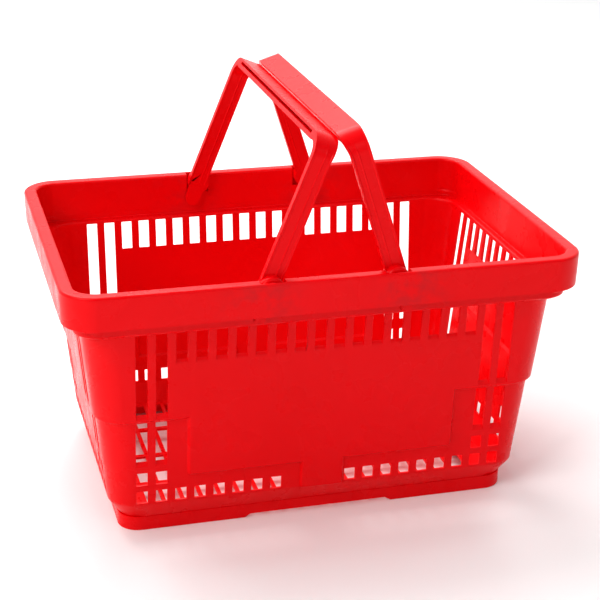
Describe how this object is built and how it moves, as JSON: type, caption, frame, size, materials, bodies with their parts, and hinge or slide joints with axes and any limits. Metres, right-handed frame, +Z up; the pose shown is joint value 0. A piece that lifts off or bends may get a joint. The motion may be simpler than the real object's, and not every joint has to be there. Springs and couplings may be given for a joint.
{
  "type": "shopping basket",
  "caption": "Rectangular plastic hand basket with slotted tapered walls, a deep rim and a pair of bail handles that swing up to meet over the middle.",
  "frame": {"origin": "on the surface the basket stands on, under the middle of its base", "axes": "+X along the basket's length, +Y across it, +Z up; the handles swing about lines parallel to Y"},
  "size_m": [0.43, 0.303, 0.3426],
  "materials": {
    "basket_red": "glossy moulded polypropylene",
    "handle_red": "glossy moulded polypropylene"
  },
  "bodies": {
    "basket": {"basket_body": "basket_red"},
    "left_bail": {"left_handle": "handle_red"},
    "right_bail": {"right_handle": "handle_red"}
  },
  "joints": [
    {"name": "left_handle_swing", "type": "hinge", "parent": "basket", "child": "left_bail", "pos_m": [-0.0515, 0, 0.22], "axis": [0, -1, 0], "range_deg": [0, 112]},
    {"name": "right_handle_swing", "type": "hinge", "parent": "basket", "child": "right_bail", "pos_m": [0.0515, 0, 0.22], "axis": [0, 1, 0], "range_deg": [0, 107.5]}
  ]
}
